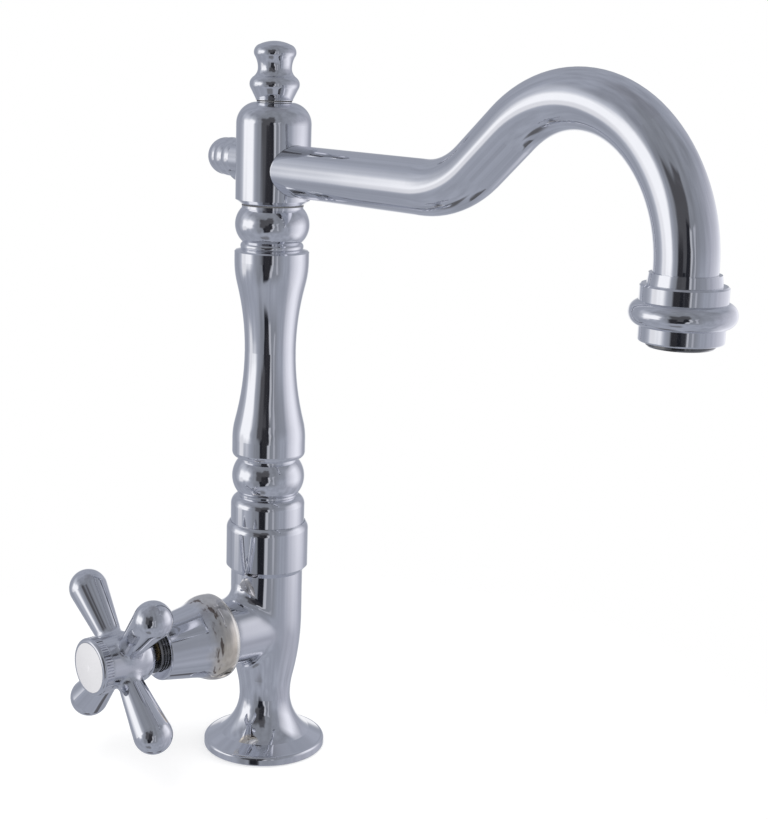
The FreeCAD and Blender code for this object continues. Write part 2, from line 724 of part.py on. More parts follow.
revolve(finial, [
    ("stud_radius + fit_gap", "finial_foot"),
    ("finial_foot_radius", "finial_foot"),
    ("finial_foot_radius", foot_height),
    (lower_width, lower_height),
    ("finial_bead_radius", finial_bead, "finial_bead_round", LEFT),
    (upper_width, upper_height, "finial_bead_round", LEFT),
    (crease_width, finial_crease),
    ("finial_neck_radius", finial_neck,
     swell(crease_width + " - finial_neck_radius", "finial_neck_rise"), RIGHT),
    ("finial_neck_radius + finial_top_blend * " + bulb_step,
     finial_neck + " + finial_top_blend * finial_top_rise",
     swell("finial_top_blend * " + bulb_step, "finial_top_blend * finial_top_rise"), RIGHT),
    ("finial_top_radius", finial_bulb,
     swell("(1 - finial_top_blend) * " + bulb_step, "(1 - finial_top_blend) * finial_top_rise"), LEFT),
    ("finial_shoulder_radius", finial_shoulder,
     swell("finial_top_radius - finial_shoulder_radius", "finial_shoulder_rise"), LEFT),
    ("0", finial_tip, swell("finial_cap_rise", "finial_shoulder_radius"), LEFT),
    ("0", "post_top + stud_length + turn_gap"),
    ("stud_radius + fit_gap", "post_top + stud_length + turn_gap"),
])

# Swivel head: domed casting with a water gallery, a tube socket and a plugged hole in a back boss

swivel_head = new_body("swivel_head")
head_bore = "post_radius + fit_gap"
neck_bore = "post_neck_radius + fit_gap"
dome_top = neck_bore + " + dome_flat"
revolve(swivel_head, [
    (head_bore, "head_bottom"),
    ("head_foot_radius", "head_bottom"),
    ("head_radius", "head_bottom + head_chamfer"),
    ("head_radius", "head_top - dome_height"),
    (dome_top, "head_top", swell("head_radius - (%s)" % dome_top, "dome_height"), LEFT),
    (neck_bore, "head_top"),
    (neck_bore, "post_shoulder + turn_gap"),
    (head_bore, "post_shoulder + turn_gap"),
    (head_bore, "spout_axis + gallery_height / 2"),
    ("gallery_radius", "spout_axis + gallery_height / 2"),
    ("gallery_radius", "spout_axis - gallery_height / 2"),
    (head_bore, "spout_axis - gallery_height / 2"),
])
primitive(swivel_head, "AdditiveCylinder", {"Radius": "boss_radius", "Height": "boss_reach"},
          ALONG_BACK, y="knob_seat", z="spout_axis")
primitive(swivel_head, "AdditiveCone",
          {"Radius1": "boss_radius", "Radius2": "boss_radius - boss_edge", "Height": "boss_edge"},
          ALONG_BACK, y="knob_seat + boss_reach", z="spout_axis")
bore(swivel_head, "tube_radius + fit_gap", "head_radius", ALONG_FRONT, y="-tube_seat", z="spout_axis")
bore(swivel_head, "knob_base_radius + fit_gap", "head_radius", ALONG_BACK, y="knob_seat", z="knob_axis")
bore(swivel_head, "knob_stud_radius + fit_gap", "head_radius", ALONG_BACK, z="knob_axis")

# Back knob: ribbed plug screwed into the head behind the spout, on a fibre washer

back_knob = new_body("back_knob", ALONG_BACK, z="knob_axis")
knob_start = "knob_seat + knob_washer_thickness"
ring_start = knob_start + " + knob_base_length"
knob_tip = ring_start + " + 2 * knob_ring_length + knob_tip_length"
knob_groove = "knob_base_radius - knob_groove_depth"
rib_round = bulge("knob_ring_length", "knob_groove_depth")
revolve(back_knob, [
    ("0", "knob_seat - knob_stud_length"),
    ("knob_stud_radius", "knob_seat - knob_stud_length"),
    ("knob_stud_radius", knob_start),
    ("knob_base_radius", knob_start),
    ("knob_base_radius", ring_start + " - knob_groove_depth"),
    (knob_groove, ring_start),
    (knob_groove, ring_start + " + knob_ring_length", rib_round, LEFT),
    (knob_groove, ring_start + " + 2 * knob_ring_length", rib_round, LEFT),
    ("0", knob_tip, swell("knob_tip_length", knob_groove), LEFT),
])
knob_washer = new_body("knob_washer", ALONG_BACK, z="knob_axis")
ring(knob_washer, "knob_stud_radius + fit_gap", "knob_base_radius", "knob_seat", knob_start)

# Spout tube: one drawn tube bent up from a level run, over a crest and down to the outlet

spout_tube = new_body("spout_tube", ALONG_SPOUT)
path = new_sketch(spout_tube, "XZ_Plane")
draw(path, [
    ("tube_seat", "spout_axis"),
    ("spout_run", "spout_axis"),
    ("slope_start", "slope_start_height", "rise_bend", LEFT),
    ("slope_end", "slope_end_height"),
    ("fall_start", "fall_start_height", "crest_bend", RIGHT),
    ("spout_reach", "drop_start", "fall_bend", RIGHT),
    ("spout_reach", "tube_end"),
], closed=False)
section = new_sketch(spout_tube, "YZ_Plane", out="tube_seat")
circle(section, "0", "spout_axis", "tube_radius")
circle(section, "0", "spout_axis", "tube_radius - tube_wall")
pipe = spout_tube.newObject("PartDesign::AdditivePipe", "Bent")
pipe.Profile = section
pipe.Spine = (path, ["Edge%d" % (number + 1) for number in range(6)])

# Outlet ferrule: plain cone ring that covers the joint between tube and outlet collar

outlet_ferrule = new_body("outlet_ferrule", y="-spout_reach")
revolve(outlet_ferrule, [
    ("tube_radius + fit_gap", "outlet_top"),
    ("tube_radius + fit_gap + ferrule_wall", "outlet_top"),
    ("tube_radius + fit_gap + ferrule_edge", "outlet_top + ferrule_length"),
    ("tube_radius + fit_gap", "outlet_top + ferrule_length"),
])

# Outlet collar: two bands and a round bead, bored to hold the tube's end and the aerator

outlet_collar = new_body("outlet_collar", y="-spout_reach")
bead_middle = "outlet_bead_bottom + outlet_bead_length / 2"
revolve(outlet_collar, [
    ("insert_radius + fit_gap", "outlet_bottom"),
    ("outlet_foot_radius - outlet_band_edge", "outlet_bottom"),
    ("outlet_foot_radius", "outlet_bottom + outlet_band_edge", "outlet_band_edge", LEFT),
    ("outlet_foot_radius", "outlet_bead_bottom"),
    ("outlet_bead_radius", bead_middle,
     swell("outlet_bead_radius - outlet_foot_radius", "outlet_bead_length / 2"), LEFT),
    ("outlet_band_radius", "outlet_bead_top",
     swell("outlet_bead_radius - outlet_band_radius", "outlet_bead_length / 2"), LEFT),
    ("outlet_band_radius", "outlet_top - outlet_band_edge"),
    ("outlet_band_radius - outlet_band_edge", "outlet_top"),
    ("tube_radius + fit_gap", "outlet_top"),
    ("tube_radius + fit_gap", "tube_end"),
    ("tube_radius - tube_wall", "tube_end"),
    ("tube_radius - tube_wall", "aerator_seat"),
    ("insert_radius + fit_gap", "aerator_seat"),
])

# Aerator: black insert with a perforated screen, pressed against a rubber washer

aerator_insert = new_body("aerator_insert", y="-spout_reach")
screen_seat = "insert_bottom + screen_recess + screen_thickness"
insert_bore = "insert_radius - insert_wall"
revolve(aerator_insert, [
    (insert_bore, "insert_bottom"),
    ("insert_radius - insert_edge", "insert_bottom"),
    ("insert_radius", "insert_bottom + insert_edge"),
    ("insert_radius", "insert_top"),
    (insert_bore + " - insert_wall", "insert_top"),
    (insert_bore + " - insert_wall", screen_seat),
    (insert_bore, screen_seat),
])
aerator_screen = new_body("aerator_screen", y="-spout_reach")
disc = new_sketch(aerator_screen, "XY_Plane", out="insert_bottom + screen_recess")
circle(disc, "0", "0", insert_bore + " - fit_gap")
row_pitch = "screen_pitch * sqrt(3) / 2"
reach = round(value("screen_reach"))
for row in range(-reach, reach + 1):
    in_row = 2 * reach + 1 - abs(row)
    for place in range(in_row):
        step = place - (in_row - 1) / 2
        x = "0" if step == 0 else "(%s) * screen_pitch" % step
        y = "0" if row == 0 else "(%d) * %s" % (row, row_pitch)
        circle(disc, x, y, "screen_hole_radius")
plate = aerator_screen.newObject("PartDesign::Pad", "Plate")
plate.Profile = disc
plate.setExpression("Length", bound("screen_thickness"))
aerator_washer = new_body("aerator_washer", y="-spout_reach")
ring(aerator_washer, "insert_radius - aerator_washer_width", "insert_radius", "insert_top", "aerator_seat")

# Valve cartridge: hexagon-headed brass shell screwed into the branch

cartridge_body = new_body("cartridge_body", ALONG_HANDLE, z="valve_height")
disc_bore = "disc_radius + fit_gap"
stem_bore = "spindle_radius + fit_gap"
thread_start = "branch_length - cartridge_thread_length"
revolve(cartridge_body, [
    (disc_bore, "fixed_disc_start"),
    ("cartridge_skirt_radius", "fixed_disc_start"),
    ("cartridge_skirt_radius", thread_start),
    ("chamber_radius - fit_gap", thread_start),
    ("chamber_radius - fit_gap", "cartridge_neck_start"),
    ("cartridge_neck_radius", "cartridge_neck_start"),
    ("cartridge_neck_radius", "cartridge_end"),
    (stem_bore, "cartridge_end"),
    (stem_bore, "disc_chamber_end"),
    (disc_bore, "disc_chamber_end"),
])
primitive(cartridge_body, "AdditivePrism", {"Circumradius": "hex_across_corners / 2", "Height": "hex_length"},
          z="branch_length")
bore(cartridge_body, stem_bore, "hex_length", z="branch_length")
bore(cartridge_body, "cartridge_window", "2 * cartridge_skirt_radius", ALONG_SIDE,
     x="-cartridge_skirt_radius", z="moving_disc_end")

# Seat seal and the two ceramic discs

seat_seal = new_body("seat_seal", ALONG_HANDLE, z="valve_height")
ring(seat_seal, "seat_seal_bore", "disc_radius", "chamber_floor", "fixed_disc_start")
fixed_disc = new_body("fixed_disc", ALONG_HANDLE, z="valve_height")
moving_disc = new_body("moving_disc", ALONG_HANDLE, z="valve_height", spin=90)
for body, start in ((fixed_disc, "fixed_disc_start"), (moving_disc, "moving_disc_start")):
    primitive(body, "AdditiveCylinder", {"Radius": "disc_radius", "Height": "disc_thickness"}, z=start)
    for side in ("disc_port_offset", "-disc_port_offset"):
        bore(body, "disc_port_radius", "disc_thickness", x=side, z=start)
primitive(moving_disc, "SubtractiveBox",
          {"Length": "drive_length + 2 * fit_gap", "Width": "drive_width + 2 * fit_gap",
           "Height": "drive_slot_depth"},
          x="-drive_length / 2 - fit_gap", y="-drive_width / 2 - fit_gap",
          z="moving_disc_end - drive_slot_depth")

# Spindle: turns the moving disc, tapped at its outer end for the handle screw

spindle = new_body("spindle", ALONG_HANDLE, z="valve_height", spin=90)
stem_seal_floor = "spindle_radius - spindle_seal_thickness"
first_stem_seal = "disc_chamber_end + spindle_seal_inset"
second_stem_seal = first_stem_seal + " + spindle_seal_pitch"
spindle_flange = "disc_radius - spindle_flange_inset"
clip_floor = "spindle_radius - circlip_groove"
clip_end = "circlip_start + circlip_thickness"
screw_tip = "spline_end - screw_length"
revolve(spindle, [
    ("0", "moving_disc_end"),
    (spindle_flange, "moving_disc_end"),
    (spindle_flange, "spindle_flange_end"),
    ("spindle_radius", "spindle_flange_end"),
    *groove_points("spindle_radius", stem_seal_floor, first_stem_seal, "spindle_seal_groove"),
    *groove_points("spindle_radius", stem_seal_floor, second_stem_seal, "spindle_seal_groove"),
    ("spindle_radius", "circlip_start"),
    (clip_floor, "circlip_start"),
    (clip_floor, clip_end),
    ("spindle_radius", clip_end),
    ("spindle_radius", "spline_end"),
    ("screw_radius + fit_gap", "spline_end"),
    ("screw_radius + fit_gap", screw_tip),
    ("0", screw_tip),
])
primitive(spindle, "AdditiveBox",
          {"Length": "drive_length", "Width": "drive_width", "Height": "drive_slot_depth"},
          x="-drive_length / 2", y="-drive_width / 2", z="moving_disc_end - drive_slot_depth")
seal_rings("spindle_o_rings", "spindle_radius", "spindle_seal_thickness", [first_stem_seal, second_stem_seal],
           ALONG_HANDLE, "valve_height")
spindle_circlip = new_body("spindle_circlip", ALONG_HANDLE, z="valve_height")
revolve(spindle_circlip, [
    (clip_floor, "circlip_start"),
    ("circlip_radius", "circlip_start"),
    ("circlip_radius", clip_end),
    (clip_floor, clip_end),
], angle="360 - circlip_opening")

# Bonnet shroud: bell that hides the cartridge, screwed onto its neck

bonnet_shroud = new_body("bonnet_shroud", ALONG_HANDLE, z="valve_height")
bonnet_wall = "hex_across_corners / 2 + turn_gap"
nose_start = "bonnet_end - bonnet_nose_edge"
nose_radius = "bonnet_bell_radius - (%s - bonnet_bell_start) * tan(bonnet_taper_angle)" % nose_start
revolve(bonnet_shroud, [
    (bonnet_wall, "branch_length"),
    ("bonnet_foot_radius", "branch_length"),
    ("bonnet_rim_radius", "bonnet_rim_start",
     swell("bonnet_rim_radius - bonnet_foot_radius", "bonnet_rim_rise"), LEFT),
    ("bonnet_rim_radius", "bonnet_rim_end"),
    ("bonnet_flare_radius", "bonnet_flare_start", "bonnet_rim_round", LEFT),
    ("bonnet_bell_radius", "bonnet_bell_start", "bonnet_flare_round", RIGHT),
    (nose_radius, nose_start),
    (nose_radius + " - bonnet_nose_edge", "bonnet_end", "bonnet_nose_edge", LEFT),
    ("gland_radius + turn_gap", "bonnet_end"),
    ("gland_radius + turn_gap", "cartridge_neck_start + bonnet_grip"),
    ("cartridge_neck_radius + fit_gap", "cartridge_neck_start + bonnet_grip"),
    ("cartridge_neck_radius + fit_gap", "cartridge_neck_start + turn_gap"),
    (bonnet_wall, "cartridge_neck_start + turn_gap"),
])

# Gland ring: black cap on the cartridge's neck, with two grip grooves

gland_ring = new_body("gland_ring", ALONG_HANDLE, z="valve_height")
gland_floor = "gland_radius - gland_groove"
revolve(gland_ring, [
    ("cartridge_neck_radius + fit_gap", "cartridge_end - gland_cover"),
    ("gland_radius", "cartridge_end - gland_cover"),
    *groove_points("gland_radius", gland_floor, "gland_chamber_end", "gland_lip / 4"),
    *groove_points("gland_radius", gland_floor, "gland_chamber_end + gland_lip / 2", "gland_lip / 4"),
    ("gland_radius", "gland_end"),
    ("spindle_radius + turn_gap", "gland_end"),
    ("spindle_radius + turn_gap", "gland_chamber_end"),
    ("circlip_radius + turn_gap", "gland_chamber_end"),
    ("circlip_radius + turn_gap", "cartridge_end"),
    ("cartridge_neck_radius + fit_gap", "cartridge_end"),
])

# Cross handle: cast hub with four club-shaped arms

cross_handle = new_body("cross_handle", ALONG_HANDLE, z="valve_height", spin=45)
hub = revolve(cross_handle, [
    ("0", "hub_start"),
    ("hub_rear_radius", "hub_start"),
    ("hub_radius", "hub_start + hub_swell_length",
     swell("hub_radius - hub_rear_radius", "hub_swell_length"), LEFT),
    ("hub_radius", "hub_end"),
    ("0", "hub_end"),
])
taper = "asin((arm_ball_radius - arm_root_radius) / (arm_ball_position - arm_root_start))"
tangent_place = "arm_ball_position - arm_ball_radius * sin(%s)" % taper
tangent_radius = "arm_ball_radius * cos(%s)" % taper
flare_start = "hub_radius - arm_root_flare"
arm = revolve(cross_handle, [
    ("0", "0"),
    ("arm_ball_position + arm_ball_radius", "0"),
    ("arm_ball_position", "arm_ball_radius", "arm_ball_radius", LEFT),
    (tangent_place, tangent_radius, "arm_ball_radius", LEFT),
    ("arm_root_start", "arm_root_radius"),
    (flare_start, "arm_root_radius + arm_root_flare",
     swell("arm_root_flare", "arm_root_start - (%s)" % flare_start), RIGHT),
    ("0", "arm_root_radius + arm_root_flare"),
], axis="H_Axis", up="arm_axis")
arms = cross_handle.newObject("PartDesign::PolarPattern", "Arms")
arms.Originals = [arm]
arms.Axis = (hub.Profile[0], ["V_Axis"])
arms.Angle = 360
arms.Occurrences = 4
cross_handle.Tip = arms
bore(cross_handle, "spindle_radius + fit_gap", "spline_depth", z="hub_start")
bore(cross_handle, "screw_radius + fit_gap", "hub_length", z="hub_start")
bore(cross_handle, "bezel_spigot_radius + fit_gap", "hub_end - screw_seat", z="screw_seat")

# Handle screw: clamps the handle on the spindle, under the index button

handle_screw = new_body("handle_screw", ALONG_HANDLE, z="valve_height")
screw_head_end = "screw_seat + screw_head_length"
revolve(handle_screw, [
    ("0", screw_tip + " + turn_gap"),
    ("screw_radius", screw_tip + " + turn_gap"),
    ("screw_radius", "screw_seat"),
    ("screw_head_radius", "screw_seat"),
    ("screw_head_radius", screw_head_end),
    ("0", screw_head_end),
])
primitive(handle_screw, "SubtractivePrism", {"Circumradius": "screw_socket", "Height": "screw_socket"},
          z=screw_head_end + " - screw_socket")

# Index bezel: knurled ring screwed into the hub, holding the porcelain button

index_bezel = new_body("index_bezel", ALONG_HANDLE, z="valve_height")
button_seat = "bezel_end - button_thickness"
spigot_bore = "bezel_spigot_radius - bezel_spigot_wall"
rim = revolve(index_bezel, [
    (spigot_bore, "screw_seat + turn_gap"),
    ("bezel_spigot_radius", "screw_seat + turn_gap"),
    ("bezel_spigot_radius", "hub_end"),
    ("bezel_radius", "hub_end"),
    ("bezel_radius", "hub_end + bezel_length"),
    ("button_radius + fit_gap", "bezel_end",
     swell("bezel_wall", "bezel_front_edge"), LEFT),
    ("button_radius + fit_gap", button_seat),
    (spigot_bore, button_seat),
])
notch_sketch = new_sketch(index_bezel, "XY_Plane", out="hub_end")
draw(notch_sketch, [
    ("bezel_radius - knurl_depth", "0"),
    ("bezel_radius + knurl_depth", "-knurl_width"),
    ("bezel_radius + knurl_depth", "knurl_width"),
])
notch = index_bezel.newObject("PartDesign::Pocket", "Notch")
notch.Profile = notch_sketch
notch.Reversed = True
notch.setExpression("Length", bound("knurl_length"))
knurl = index_bezel.newObject("PartDesign::PolarPattern", "Knurl")
knurl.Originals = [notch]
knurl.Axis = (rim.Profile[0], ["V_Axis"])
knurl.Angle = 360
knurl.setExpression("Occurrences", bound("knurl_count"))
index_bezel.Tip = knurl

# Index button: glazed porcelain disc with a slight crown

index_button = new_body("index_button", ALONG_HANDLE, z="valve_height")
revolve(index_button, [
    ("0", button_seat),
    ("button_radius", button_seat),
    ("button_radius", "bezel_end"),
    ("0", "bezel_end + button_crown", swell("button_crown", "button_radius"), LEFT),
])

# Check every object, then write each sub-part

doc.recompute()
for item in doc.Objects:
    if "Invalid" in item.State or "Error" in item.State:
        raise RuntimeError("%s failed to build" % item.Label)
for item in sub_parts:
    if item.Shape.isNull() or not item.Shape.isValid():
        raise RuntimeError("%s has no valid shape" % item.Label)
os.makedirs("parts", exist_ok=True)
for item in sub_parts:
    item.Shape.exportStep("parts/%s.step" % item.Label)
    print(item.Label, len(item.Shape.Solids), round(item.Shape.Volume, 1))
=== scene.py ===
import math

import bpy
from mathutils import Matrix, Vector

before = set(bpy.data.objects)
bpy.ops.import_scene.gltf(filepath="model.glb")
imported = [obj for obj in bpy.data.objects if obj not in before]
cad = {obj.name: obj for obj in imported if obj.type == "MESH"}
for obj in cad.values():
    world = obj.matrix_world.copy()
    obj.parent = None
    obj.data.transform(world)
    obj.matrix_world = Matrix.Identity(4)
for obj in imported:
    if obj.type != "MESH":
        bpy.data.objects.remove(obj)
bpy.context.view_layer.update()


# Deck gasket: a flat ring of black rubber let into the underside of the flange.
# It is cut from sheet, so its faces are matt and faintly mottled.

def new_material(name):
    material = bpy.data.materials.new(name)
    material.use_nodes = True
    return material


def shader_of(material):
    return material.node_tree.nodes["Principled BSDF"]


def new_node(tree, kind, **settings):
    node = tree.nodes.new("ShaderNode" + kind)
    for setting, value in settings.items():
        setattr(node, setting, value)
    return node


def feed(tree, value, socket):
    # Another node's output is linked to the socket, and a plain value is set on it.
    if isinstance(value, bpy.types.NodeSocket):
        tree.links.new(value, socket)
    else:
        socket.default_value = value


def own_place(tree):
    return new_node(tree, "TexCoord").outputs["Object"]


def noise(tree, source, scale, detail=2.0):
    texture = new_node(tree, "TexNoise")
    tree.links.new(source, texture.inputs["Vector"])
    feed(tree, scale, texture.inputs["Scale"])
    texture.inputs["Detail"].default_value = detail
    return texture.outputs["Fac"]


def spread(tree, source, low, high, reach=(0.3, 0.7)):
    # Stretches the reach of the source, which for a noise is mostly the one given here.
    stretch = new_node(tree, "MapRange")
    stretch.inputs["From Min"].default_value = reach[0]
    stretch.inputs["From Max"].default_value = reach[1]
    stretch.inputs["To Min"].default_value = low
    stretch.inputs["To Max"].default_value = high
    tree.links.new(source, stretch.inputs["Value"])
    return stretch.outputs["Result"]


def mixed(tree, kind, mask, first, second):
    # Goes from the first colour or vector to the second as the mask rises.
    mix = new_node(tree, "Mix", data_type=kind)
    tree.links.new(mask, mix.inputs["Factor"])
    ends = [socket for socket in mix.inputs if socket.type == kind and socket.name != "Factor"]
    for socket, end in zip(ends, (first, second)):
        feed(tree, (*end, 1) if isinstance(end, tuple) else end, socket)
    return next(socket for socket in mix.outputs if socket.type == kind)


def bump(tree, shader, height, depth):
    # Lays relief over any that the shader already has.
    relief = new_node(tree, "Bump")
    relief.inputs["Distance"].default_value = depth
    tree.links.new(height, relief.inputs["Height"])
    for link in shader.inputs["Normal"].links:
        tree.links.new(link.from_socket, relief.inputs["Normal"])
    tree.links.new(relief.outputs["Normal"], shader.inputs["Normal"])


def new_group(name, inputs, outputs, output_type="NodeSocketFloat"):
    group = bpy.data.node_groups.new(name, "ShaderNodeTree")
    for socket in inputs:
        group.interface.new_socket(socket, in_out="INPUT", socket_type="NodeSocketFloat")
    for socket in outputs:
        group.interface.new_socket(socket, in_out="OUTPUT", socket_type=output_type)
    return group, group.nodes.new("NodeGroupInput"), group.nodes.new("NodeGroupOutput")


MOTTLE_DETAIL = 4.0


def mottle_group():
    group, given, result = new_group("mottle", ("Grain",), ("Mottle",))
    flecks = noise(group, own_place(group), given.outputs["Grain"], MOTTLE_DETAIL)
    group.links.new(flecks, result.inputs["Mottle"])
    return group


mottle = mottle_group()


def plain_finish(name, tones, rough, grain, relief, metal=0.0):
    # Two tones and a band of roughness, mottled at one grain size, with a little relief.
    material = new_material(name)
    tree, shader = material.node_tree, shader_of(material)
    shader.inputs["Metallic"].default_value = metal
    mottled = new_node(tree, "Group", node_tree=mottle)
    mottled.inputs["Grain"].default_value = grain
    flecks = mottled.outputs["Mottle"]
    tree.links.new(mixed(tree, "RGBA", flecks, *tones), shader.inputs["Base Color"])
    tree.links.new(spread(tree, flecks, *rough), shader.inputs["Roughness"])
    bump(tree, shader, flecks, relief)
    return material


def dress(material, *names):
    for name in names:
        cad[name].material_slots[0].material = material


RUBBER_TONES = ((0.018, 0.018, 0.019), (0.045, 0.044, 0.042))

black_rubber = plain_finish("black_rubber", RUBBER_TONES, rough=(0.55, 0.8), grain=900, relief=2e-5)
dress(black_rubber, "deck_gasket")


# Valve body: one brass casting with flange, neck, vase and side branch, polished and chromed.
# The polishing wheel leaves the plating a little wavy and hazy, and softens the branch's root.
# The inlet in its foot is left as bare brass and cut with a pipe thread.

CHROME_TONES = ((0.78, 0.79, 0.828), (0.82, 0.83, 0.863))
CHROME_ROUGH = (0.03, 0.07)
HAZE_SCALE = 160
WAVE_DETAIL = 0.0
HAZE_DETAIL = 5.0


def chrome_polish_group():
    # Long soft waves from the polishing wheel, and a finer haze from wiping.
    group, given, result = new_group(
        "chrome_polish", ("Wave Scale", "Haze Scale"), ("Waves", "Haze"))
    place = own_place(group)
    waves = noise(group, place, given.outputs["Wave Scale"], WAVE_DETAIL)
    haze = noise(group, place, given.outputs["Haze Scale"], HAZE_DETAIL)
    group.links.new(waves, result.inputs["Waves"])
    group.links.new(haze, result.inputs["Haze"])
    return group


chrome_polish = chrome_polish_group()


def chrome(name, wave_scale, wave_depth):
    material = new_material(name)
    tree, shader = material.node_tree, shader_of(material)
    shader.inputs["Metallic"].default_value = 1.0
    polish = new_node(tree, "Group", node_tree=chrome_polish)
    polish.inputs["Wave Scale"].default_value = wave_scale
    polish.inputs["Haze Scale"].default_value = HAZE_SCALE
    haze = polish.outputs["Haze"]
    tree.links.new(mixed(tree, "RGBA", haze, *CHROME_TONES), shader.inputs["Base Color"])
    tree.links.new(spread(tree, haze, *CHROME_ROUGH), shader.inputs["Roughness"])
    bump(tree, shader, polish.outputs["Waves"], wave_depth)
    return material


def maths(tree, operation, *values):
    node = new_node(tree, "Math", operation=operation)
    for socket, value in zip(node.inputs, values):
        feed(tree, value, socket)
    return node.outputs["Value"]


def ways(tree, source):
    # A place taken apart along the three axes.
    split = new_node(tree, "SeparateXYZ")
    tree.links.new(source, split.inputs["Vector"])
    return tuple(split.outputs)


def distance_from(tree, first, second):
    squares = [maths(tree, "POWER", side, 2.0) for side in (first, second)]
    return maths(tree, "SQRT", maths(tree, "ADD", *squares))


def over(tree, socket, mask, colour):
    # Lays a second colour over whatever already feeds the socket.
    tree.links.new(mixed(tree, "RGBA", mask, socket.links[0].from_socket, colour), socket)


CORNER_SAMPLES = 8


def soft_corner_group():
    # Shades a corner of a casting as round where the mask is set.
    group, given, result = new_group(
        "soft_corner", ("Radius", "Mask"), ("Normal",), "NodeSocketVector")
    corner = new_node(group, "Bevel", samples=CORNER_SAMPLES)
    group.links.new(given.outputs["Radius"], corner.inputs["Radius"])
    sharp = new_node(group, "NewGeometry").outputs["Normal"]
    eased = mixed(group, "VECTOR", given.outputs["Mask"], sharp, corner.outputs["Normal"])
    group.links.new(eased, result.inputs["Normal"])
    return group


soft_corner = soft_corner_group()


def soften(tree, shader, reach, mask):
    # The corner goes in under the relief that the shader already has.
    corner = new_node(tree, "Group", node_tree=soft_corner)
    corner.inputs["Radius"].default_value = reach
    tree.links.new(mask, corner.inputs["Mask"])
    relief = shader.inputs["Normal"].links[0].from_node
    tree.links.new(corner.outputs["Normal"], relief.inputs["Normal"])


INLET_RADIUS = 0.0095
INLET_DEPTH = 0.0136
BARE_BRASS = (0.66, 0.47, 0.2)
THREAD_PITCH = 0.001814
THREAD_DEPTH = 0.0011
THREAD_CREST = 0.5
BRANCH_HEIGHT = 0.0572
SADDLE_REACH = 0.005
SADDLE_BAND = (0.012, 0.007)

cast_chrome = chrome("cast_chrome", wave_scale=60, wave_depth=1.2e-4)
tree, shader = cast_chrome.node_tree, shader_of(cast_chrome)
x, y, z = ways(tree, own_place(tree))
inlet = maths(tree, "MULTIPLY", maths(tree, "LESS_THAN", distance_from(tree, x, y), INLET_RADIUS),
              maths(tree, "LESS_THAN", z, INLET_DEPTH))
over(tree, shader.inputs["Base Color"], inlet, BARE_BRASS)
from_axis = maths(tree, "ABSOLUTE", maths(tree, "SUBTRACT", z, BRANCH_HEIGHT))
soften(tree, shader, SADDLE_REACH, spread(tree, from_axis, 0.0, 1.0, SADDLE_BAND))
turns = maths(tree, "DIVIDE", maths(tree, "ARCTAN2", y, x), 2 * math.pi)
climb = maths(tree, "ADD", maths(tree, "DIVIDE", z, THREAD_PITCH), turns)
ridge = maths(tree, "MULTIPLY", maths(tree, "PINGPONG", climb, THREAD_CREST), inlet)
bump(tree, shader, ridge, THREAD_DEPTH)
dress(cast_chrome, "valve_body")


# Valve cartridge: a brass shell with a hexagon, two white ceramic discs and a brass spindle.
# It screws into the branch against a rubber seat and is hidden by the bonnet.
# The clip behind its neck is spring steel.

BRASS_TONES = ((0.62, 0.43, 0.17), (0.72, 0.53, 0.24))
STEEL_TONES = ((0.5, 0.5, 0.49), (0.6, 0.6, 0.6))
CERAMIC_TONES = ((0.78, 0.76, 0.7), (0.84, 0.83, 0.79))

brass = plain_finish("turned_brass", BRASS_TONES,
                     rough=(0.22, 0.4), grain=500, relief=1e-5, metal=1.0)
steel = plain_finish("bright_steel", STEEL_TONES,
                     rough=(0.25, 0.42), grain=700, relief=1e-5, metal=1.0)
ceramic = plain_finish("lapped_ceramic", CERAMIC_TONES, rough=(0.2, 0.35), grain=600, relief=4e-6)
dress(brass, "cartridge_body", "spindle")
dress(steel, "spindle_circlip")
dress(ceramic, "fixed_disc", "moving_disc")
dress(black_rubber, "seat_seal", "spindle_o_rings")


# Bonnet: a turned brass bell that covers the cartridge, chromed.
# Its rim is worn and stained to a warm cream where water runs down to the branch,
# with a few brown spots; its rear edge carries a painted highlight, a bright band with less metal.

STAIN_BAND = (-0.0415, -0.0345)
STAIN_TOP = (0.070, 0.058)
STAIN_ABOVE = 0.45
STAIN_TONE = (0.89, 0.80, 0.665)
RAGGED_SCALE = 120
RAGGED_DETAIL = 3.0
RAGGED_REACH = 0.0022
# Painted highlight on the rim's rear edge: a bright tone, and less metal so lamp light lifts it.
EDGE_HIGHLIGHT_BAND = (-0.0300, -0.0290)
EDGE_HIGHLIGHT_TONE = (0.78, 0.76, 0.72)
EDGE_HIGHLIGHT_METAL = 0.72
SPOT_START = (-0.0395, -0.0375)
SPOT_END = (-0.0358, -0.0342)
SPOT_STRETCH = (700, 420, 130)
SPOT_COVER = (0.51, 0.61)
SPOT_STRENGTH = 0.9
SPOT_TONE = (0.20, 0.155, 0.13)

bonnet_chrome = chrome("bonnet_chrome", wave_scale=80, wave_depth=8e-5)
tree, shader = bonnet_chrome.node_tree, shader_of(bonnet_chrome)
place = own_place(tree)
x, y, z = ways(tree, place)
wander = spread(tree, noise(tree, place, RAGGED_SCALE, RAGGED_DETAIL), -RAGGED_REACH, RAGGED_REACH)
ragged = maths(tree, "ADD", x, wander)
below = spread(tree, z, STAIN_ABOVE, 1.0, STAIN_TOP)
stain = maths(tree, "MULTIPLY", below, spread(tree, ragged, 0.0, 1.0, STAIN_BAND))
# Mask of the painted highlight along the rim's rear edge.
painted_edge_highlight = maths(tree, "MULTIPLY", below, spread(tree, x, 0.0, 1.0, EDGE_HIGHLIGHT_BAND))
stretched = new_node(tree, "Mapping")
stretched.inputs["Scale"].default_value = SPOT_STRETCH
tree.links.new(place, stretched.inputs["Vector"])
specks = noise(tree, stretched.outputs["Vector"], 1.0)
band = maths(tree, "MULTIPLY", spread(tree, ragged, 0.0, 1.0, SPOT_START),
             spread(tree, ragged, 1.0, 0.0, SPOT_END))
spots = maths(tree, "MULTIPLY", band, spread(tree, specks, 0.0, SPOT_STRENGTH, SPOT_COVER))
